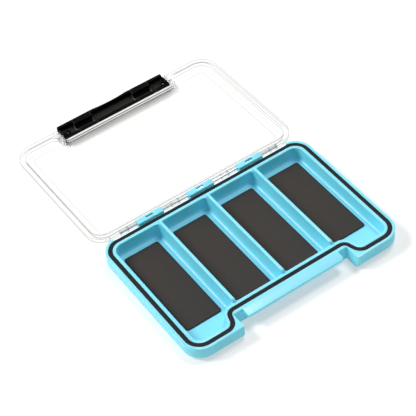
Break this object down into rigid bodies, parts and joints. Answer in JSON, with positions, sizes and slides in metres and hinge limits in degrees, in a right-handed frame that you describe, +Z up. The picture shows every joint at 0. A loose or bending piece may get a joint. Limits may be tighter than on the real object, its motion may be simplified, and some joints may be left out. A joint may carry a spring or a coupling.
{
  "type": "fly box",
  "caption": "Slim waterproof box for fishing flies: moulded tray with magnetic bays, rubber rim seal, clear hinged lid laid open and a swing-over front latch.",
  "frame": {"origin": "middle of the tray's underside", "axes": "+X along the hinge to the right, +Y from the latch notch to the hinge and on to the opened lid, +Z up; the lid is stored laid back, with the latch swung out on the ground"},
  "size_m": [0.188, 0.2632, 0.0158],
  "materials": {
    "tray": "satin light-blue polypropylene",
    "seal": "matte black silicone rubber",
    "pad": "matte dark brown-grey magnetic sheet",
    "steel": "drawn stainless wire",
    "clear": "polished clear polycarbonate",
    "latch": "satin black acetal"
  },
  "bodies": {
    "base": {"base_tray": "tray", "rim_seal": "seal", "magnetic_pad_1": "pad", "magnetic_pad_2": "pad", "magnetic_pad_3": "pad", "magnetic_pad_4": "pad", "hinge_pin": "steel"},
    "lid": {"clear_lid": "clear", "latch_pin_left": "steel", "latch_pin_right": "steel"},
    "latch": {"latch": "latch"}
  },
  "joints": [
    {"name": "lid_hinge", "type": "hinge", "parent": "base", "child": "lid", "pos_m": [0, 0.0654, 0.0128], "axis": [1, 0, 0], "range_deg": [0, 181.91]},
    {"name": "latch_pivot", "type": "hinge", "parent": "lid", "child": "latch", "pos_m": [0, 0.18816, 0.0065], "axis": [1, 0, 0], "range_deg": [0, 88.09]}
  ]
}
